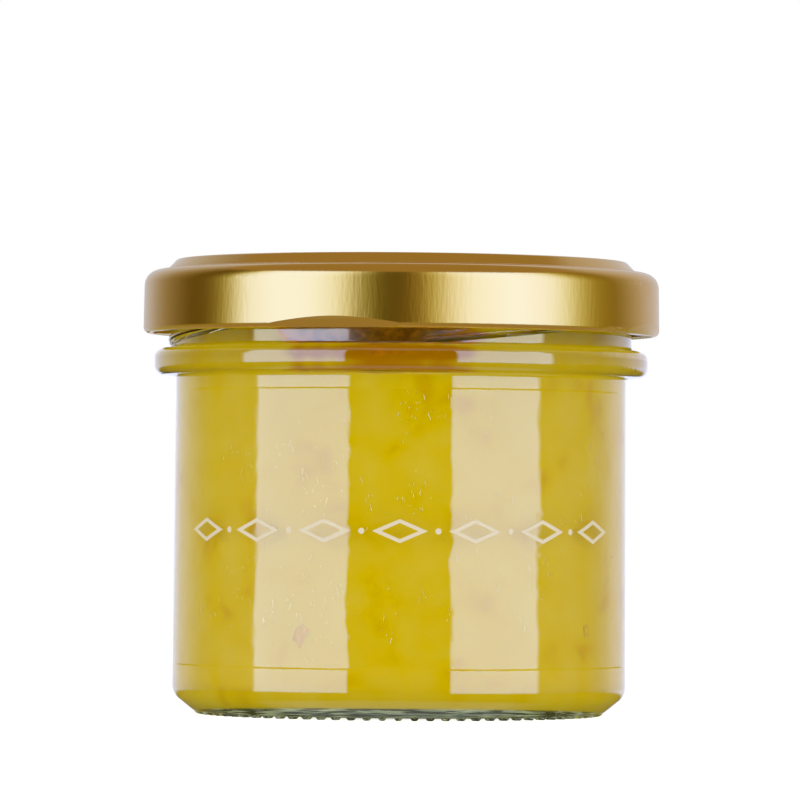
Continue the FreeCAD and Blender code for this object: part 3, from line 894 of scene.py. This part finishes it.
class JAR_OT_print_band(bpy.types.Operator):
    """Prints a plain band of hollow lozenges and dots on the front of the glass"""

    bl_idname = "jar.print_band"
    bl_label = "Print the band"

    GAP = 0.25  # at the band's two ends, the part of a step that is left off
    REACH = 0.36  # half a lozenge's width, as a part of a step
    BASE, PROUD = 0.02, 0.03  # mm of the enamel under and over the glass's surface

    def execute(self, context):
        looks = context.scene.jar_print
        step = math.degrees(looks.spread) / (looks.lozenges - self.GAP)
        first = -step * (looks.lozenges - 1) / 2
        lozenges = self.stamp("printed_lozenges", self.lozenge(looks, step), looks, [
            first + step * i for i in range(looks.lozenges)
        ])
        dots = self.stamp("printed_dots", self.dot(looks), looks, [
            first + step * (i + 0.5) for i in range(looks.lozenges - 1)
        ])
        enamel = fired_enamel(looks)
        for piece in (lozenges, dots):
            give(piece, enamel)
            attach(piece, "root")
        return {"FINISHED"}

    def lozenge(self, looks, step):
        """A flat hollow lozenge standing in the XZ plane, thickened towards the front."""
        bpy.ops.object.select_all(action="DESELECT")
        bpy.ops.mesh.primitive_circle_add(
            vertices=4, radius=1, fill_type="NGON", rotation=(math.pi / 2, 0, 0)
        )
        bpy.ops.object.transform_apply(location=False, rotation=True, scale=False)
        shape = bpy.context.object
        half = self.REACH * math.radians(step) * glass_radius(looks.middle)
        bpy.ops.object.mode_set(mode="EDIT")
        bpy.ops.mesh.select_all(action="SELECT")
        bpy.ops.transform.resize(value=(half, 1, looks.height / 2), center_override=(0, 0, 0))
        bpy.ops.mesh.inset(thickness=looks.stroke * 0.9)
        bpy.ops.mesh.delete(type="FACE")
        bpy.ops.mesh.select_all(action="SELECT")
        bpy.ops.mesh.subdivide(number_cuts=7)
        bpy.ops.mesh.extrude_region_move(TRANSFORM_OT_translate={"value": (0, -1, 0)})
        bpy.ops.mesh.select_all(action="SELECT")
        bpy.ops.mesh.normals_make_consistent(inside=False)
        bpy.ops.object.mode_set(mode="OBJECT")
        return shape

    def dot(self, looks):
        """A flat dot standing in the XZ plane, thickened towards the front."""
        bpy.ops.object.select_all(action="DESELECT")
        bpy.ops.mesh.primitive_cylinder_add(
            vertices=28, radius=looks.stroke * 0.75, depth=1,
            location=(0, -0.5, 0), rotation=(math.pi / 2, 0, 0),
        )
        bpy.ops.object.transform_apply(location=True, rotation=True, scale=False)
        return bpy.context.object

    def stamp(self, name, seed, looks, azimuths):
        """Copies the seed round the jar and wraps each copy on to the glass, from just under
        its surface (y = 0) to just proud of it (y = -1)."""
        flat = scatter(name, seed, [Matrix.Translation((azimuth, 0, 0)) for azimuth in azimuths])
        for vertex in flat.data.vertices:
            azimuth = min(azimuths, key=lambda a: abs(a - vertex.co.x))
            along, out, up = vertex.co.x - azimuth, -vertex.co.y, vertex.co.z
            height = looks.middle + up
            glass = glass_radius(height)
            radius = glass + (out * (self.BASE + self.PROUD) - self.BASE) * MM
            vertex.co = at_azimuth(radius, azimuth + math.degrees(along / glass), height)
        flat.data.update()
        return flat


class JAR_OT_set_stage(bpy.types.Operator):
    """Sets the floor, the softboxes, the room's light and the camera"""

    bl_idname = "jar.set_stage"
    bl_label = "Set the stage"

    BACKDROP = (1.0, 1.05, 1.3)
    # (degrees from the camera, colour) stops of what glass mirrors beyond the softboxes
    LEFT_WING = [
        (79, (0.03, 0.04, 0.40)), (97, (0.03, 0.04, 0.38)), (108, (0.05, 0.03, 0.16)),
        (120, (0.08, 0.13, 0.42)), (138, (0.70, 0.75, 1.0)), (156, (0.88, 0.95, 1.3)),
    ]
    RIGHT_WING = [
        (75.5, (0.03, 0.04, 0.40)), (97, (0.04, 0.05, 0.55)), (108, (0.06, 0.05, 0.35)),
        (120, (0.12, 0.16, 0.68)), (138, (0.84, 0.84, 1.3)), (156, (0.90, 0.96, 1.35)),
    ]
    # the same for satin metal, from the left of the backdrop round to its right
    ROUND_METAL = [
        (-180, (0.64, 0.61, 0.63)), (-150, (0.55, 0.50, 0.47)), (-130, (0.37, 0.29, 0.16)),
        (-108, (0.16, 0.11, 0.01)), (-98, (0.17, 0.12, 0.02)), (-90, (0.28, 0.24, 0.05)),
        (-84, (0.55, 0.54, 0.2)), (-78, (0.99, 1.15, 1.4)), (-72, (1.29, 1.65, 3.4)),
        (-58, (1.39, 1.85, 4.35)), (-42, (1.38, 1.82, 4.2)), (-30, (1.26, 1.58, 2.85)),
        (-24, (0.98, 1.12, 1.3)), (-17, (0.43, 0.43, 0.17)), (-10, (0.17, 0.14, 0.02)),
        (-3, (0.13, 0.10, 0.01)), (3, (0.19, 0.13, 0.02)), (9, (0.37, 0.30, 0.07)),
        (16, (0.78, 0.80, 0.43)), (23, (1.15, 1.34, 2.0)), (32, (1.35, 1.73, 3.6)),
        (53, (1.41, 1.88, 4.6)), (70, (1.33, 1.68, 3.5)), (79, (1.09, 1.29, 1.6)),
        (87, (0.71, 0.72, 0.34)), (97, (0.41, 0.33, 0.05)), (110, (0.30, 0.22, 0.03)),
        (124, (0.47, 0.38, 0.22)), (140, (0.61, 0.53, 0.47)), (180, (0.64, 0.61, 0.63)),
    ]
    # (rise, colour, cover) stops from straight down to straight up: what takes over there
    OVER_AND_UNDER_GLASS = [
        (-1, (0.9, 0.9, 0.85), 1), (-0.88, (0.9, 0.9, 0.85), 1),
        (-0.76, (0.2, 0.16, 0.06), 1), (-0.16, (0.2, 0.16, 0.06), 1),
        (-0.1, (0.2, 0.16, 0.06), 0), (0.52, (1.0, 0.9, 0.9), 0), (0.58, (1.0, 0.9, 0.9), 1),
    ]
    OVER_AND_UNDER_METAL = [
        (-1, (0.43, 0.33, 0.16), 1), (-0.6, (0.43, 0.33, 0.16), 1),
        (-0.34, (0.40, 0.34, 0.05), 0.9), (-0.12, (0.40, 0.34, 0.05), 0),
        (0.70, (0.43, 0.30, 0.12), 0), (0.76, (0.43, 0.30, 0.12), 1),
    ]

    def execute(self, context):
        looks = context.scene.jar_stage
        self.lay_floor()
        self.hang_lamps(looks)
        self.light_room(context.scene, looks)
        self.place_camera(context.scene, looks)
        context.scene.view_settings.view_transform = "Standard"
        context.scene.cycles.caustics_reflective = False
        context.scene.cycles.caustics_refractive = False
        return {"FINISHED"}

    def lay_floor(self):
        """A white floor that keeps a faint shadow and lights the jar from below. Gloss sees
        past it, to the studio."""
        bpy.ops.object.select_all(action="DESELECT")
        bpy.ops.mesh.primitive_circle_add(vertices=64, radius=6.0, fill_type="NGON")
        floor = bpy.context.object
        floor.name = "floor"
        floor.visible_glossy = False
        give(floor, self.paper())

    def paper(self):
        """Matt white paper, lit from within so that it stays white beside the jar: a little
        for the light it throws on to the jar, more where the eye or clear glass sees it."""
        material, tree, output = new_material("white_paper_floor")
        matt = add(tree, "ShaderNodeBsdfDiffuse", values={"Color": (0.8, 0.8, 0.8, 1)})
        ray = add(tree, "ShaderNodeLightPath")
        seen = add(
            tree, "ShaderNodeMath", {"operation": "MAXIMUM"},
            links={0: ray.outputs["Is Camera Ray"], 1: ray.outputs["Is Transmission Ray"]},
        )
        lift = add(
            tree, "ShaderNodeMapRange", values={"To Min": 0.3, "To Max": 0.69},
            links={"Value": seen.outputs[0]},
        )
        white = add(tree, "ShaderNodeEmission", links={"Strength": lift.outputs["Result"]})
        look = add(tree, "ShaderNodeAddShader", links={0: matt.outputs[0], 1: white.outputs[0]})
        tree.links.new(look.outputs[0], output.inputs["Surface"])
        return material

    def hang_lamps(self, looks):
        """Two large softboxes, each side of the camera, and one above."""
        places = [(-52, 0.62, 0.16), (52, 0.62, 0.16), (0, 0.15, 0.75)]
        middle = Vector((0, 0, 0.03))
        for i, (direction, away, height) in enumerate(places):
            lamp = bpy.data.lights.new(f"softbox_{i}", "AREA")
            lamp.shape = "SQUARE"
            lamp.size = 0.5
            lamp.energy = looks.lamp_power
            holder = bpy.data.objects.new(lamp.name, lamp)
            holder.location = at_azimuth(away, direction, height)
            aim = middle - holder.location
            holder.rotation_euler = aim.to_track_quat("-Z", "Y").to_euler()
            holder.visible_glossy = False
            holder.visible_transmission = False
            holder.visible_camera = False
            bpy.context.scene.collection.objects.link(holder)

    def light_room(self, scene, looks):
        """Even light for matt surfaces, white behind the jar for the eye, and a studio of its
        own for gloss: one in the sharp reflections of glass, one in the lid's satin."""
        world = bpy.data.worlds.new("studio")
        scene.world = world
        world.use_nodes = True
        world.cycles.sampling_method = "NONE"
        tree = world.node_tree
        tree.nodes.clear()
        output = add(tree, "ShaderNodeOutputWorld")
        ray = add(tree, "ShaderNodeLightPath")
        share, height = self.bearings(tree)
        in_glass = self.studio(
            tree, share, height, looks.box_in_glass,
            self.round_glass(looks), self.OVER_AND_UNDER_GLASS,
        )
        in_metal = self.studio(
            tree, share, height, looks.box_in_glass,
            self.ROUND_METAL, self.OVER_AND_UNDER_METAL,
        )
        mirrored = add(
            tree, "ShaderNodeMath", {"operation": "SUBTRACT"},
            links={0: ray.outputs["Is Singular Ray"], 1: ray.outputs["Is Transmission Ray"]},
        )
        reflected = add(
            tree, "ShaderNodeMix", {"data_type": "RGBA", "clamp_factor": True},
            links={"Factor": mirrored.outputs[0], COLOUR_A: in_metal, COLOUR_B: in_glass},
        )
        gloss = add(
            tree, "ShaderNodeBackground", values={"Strength": looks.box_in_glass},
            links={"Color": reflected.outputs[BLENDED]},
        )
        room = add(
            tree, "ShaderNodeBackground",
            values={"Color": (1, 1, 1, 1), "Strength": looks.room_light},
        )
        white = add(tree, "ShaderNodeBackground", values={"Color": (1, 1, 1, 1), "Strength": 1.0})
        is_gloss = add(
            tree, "ShaderNodeMath", {"operation": "MAXIMUM"},
            links={0: ray.outputs["Is Glossy Ray"], 1: ray.outputs["Is Transmission Ray"]},
        )
        lit = add(
            tree, "ShaderNodeMixShader",
            links={0: is_gloss.outputs[0], 1: room.outputs[0], 2: gloss.outputs[0]},
        )
        shown = add(
            tree, "ShaderNodeMixShader",
            links={0: ray.outputs["Is Camera Ray"], 1: lit.outputs[0], 2: white.outputs[0]},
        )
        tree.links.new(shown.outputs[0], output.inputs["Surface"])

    def round_glass(self, looks):
        """What glass mirrors round the room: dark behind the camera, a softbox on each side
        of it, a dark wing beyond each, and a white backdrop behind the jar. The right wing
        starts sooner and is a little bluer."""
        box = [c * looks.box_in_glass for c in looks.box_tint]
        dark = (0.03, 0.02, 0.0)
        inner = [(25.8, dark), (26.8, box)]
        left = inner + [(77, box)] + self.LEFT_WING + [(180, self.BACKDROP)]
        right = inner + [(73.5, box)] + self.RIGHT_WING + [(180, self.BACKDROP)]
        return [(-degrees, colour) for degrees, colour in reversed(left)] + [(0, dark)] + right

    def bearings(self, tree):
        """The direction round the room, from 0 behind the jar by way of 0.5 behind the camera
        to 1, and the height, from 0 straight down to 1 straight up."""
        way = add(tree, "ShaderNodeTexCoord").outputs["Generated"]
        axes = add(tree, "ShaderNodeSeparateXYZ", links={"Vector": way})
        front = add(
            tree, "ShaderNodeMath", {"operation": "MULTIPLY"}, {1: -1.0}, {0: axes.outputs["Y"]}
        )
        turn = add(
            tree, "ShaderNodeMath", {"operation": "ARCTAN2"},
            links={0: axes.outputs["X"], 1: front.outputs[0]},
        )
        share = add(
            tree, "ShaderNodeMapRange", values={"From Min": -math.pi, "From Max": math.pi},
            links={"Value": turn.outputs[0]},
        )
        height = add(
            tree, "ShaderNodeMapRange", values={"From Min": -1, "From Max": 1},
            links={"Value": axes.outputs["Z"]},
        )
        return share.outputs["Result"], height.outputs["Result"]

    def studio(self, tree, share, height, most, stops, covers):
        """The room's colour by direction, as parts of its brightest: (degrees, colour) stops
        round it, and (rise, colour, cover) stops that take over from them by height."""
        def parts(colour):
            return tuple(c / most for c in colour)

        room = set_ramp(
            add(tree, "ShaderNodeValToRGB", links={"Fac": share}),
            [(degrees / 360 + 0.5, parts(colour)) for degrees, colour in stops],
        )
        over = set_ramp(
            add(tree, "ShaderNodeValToRGB", links={"Fac": height}),
            [(rise / 2 + 0.5, parts(colour), cover) for rise, colour, cover in covers],
        )
        return add(
            tree, "ShaderNodeMix", {"data_type": "RGBA"},
            links={"Factor": over.outputs["Alpha"], COLOUR_A: room.outputs["Color"],
                   COLOUR_B: over.outputs["Color"]},
        ).outputs[BLENDED]

    def place_camera(self, scene, looks):
        """A level camera in front of the jar, its frame shifted up to centre the view."""
        camera = bpy.data.cameras.new("camera")
        camera.sensor_width = 36
        camera.lens = camera.sensor_width * looks.distance / looks.frame_width
        camera.shift_y = looks.rise
        camera.clip_start, camera.clip_end = 0.01, 50
        holder = bpy.data.objects.new("camera", camera)
        holder.location = (0, -looks.distance, looks.eye_height)
        holder.rotation_euler = (math.pi / 2, looks.roll, 0)
        scene.collection.objects.link(holder)
        scene.camera = holder


class JAR_PT_panel(bpy.types.Panel):
    """The jar's pieces, in the order in which they are made"""

    bl_idname = "JAR_PT_panel"
    bl_label = "Lemon jar"
    bl_space_type = "VIEW_3D"
    bl_region_type = "UI"
    bl_category = "Lemon jar"

    def draw(self, context):
        for operator in OPERATORS:
            self.layout.operator(operator.bl_idname)
        for name in GROUPS:
            box = self.layout.box()
            looks = getattr(context.scene, name)
            for key in looks.__annotations__:
                box.prop(looks, key)


GROUPS = {
    "jar_glass": GlassLooks,
    "jar_paste": PasteLooks,
    "jar_print": PrintLooks,
    "jar_lid": LidLooks,
    "jar_stage": StageLooks,
}
OPERATORS = (
    JAR_OT_finish_glass, JAR_OT_finish_lid, JAR_OT_fill_paste, JAR_OT_trap_air,
    JAR_OT_strew_zest, JAR_OT_print_band, JAR_OT_set_stage,
)
CLASSES = (*GROUPS.values(), *OPERATORS, JAR_PT_panel)


def register():
    for cls in CLASSES:
        bpy.utils.register_class(cls)
    for name, group in GROUPS.items():
        setattr(bpy.types.Scene, name, PointerProperty(type=group))


def unregister():
    for name in GROUPS:
        delattr(bpy.types.Scene, name)
    for cls in reversed(CLASSES):
        bpy.utils.unregister_class(cls)


def main():
    register()
    bpy.ops.jar.finish_glass()
    bpy.ops.jar.finish_lid()
    bpy.ops.jar.fill_paste()
    bpy.ops.jar.trap_air()
    bpy.ops.jar.strew_zest()
    bpy.ops.jar.print_band()
    bpy.ops.jar.set_stage()


if __name__ == "__main__":
    main()
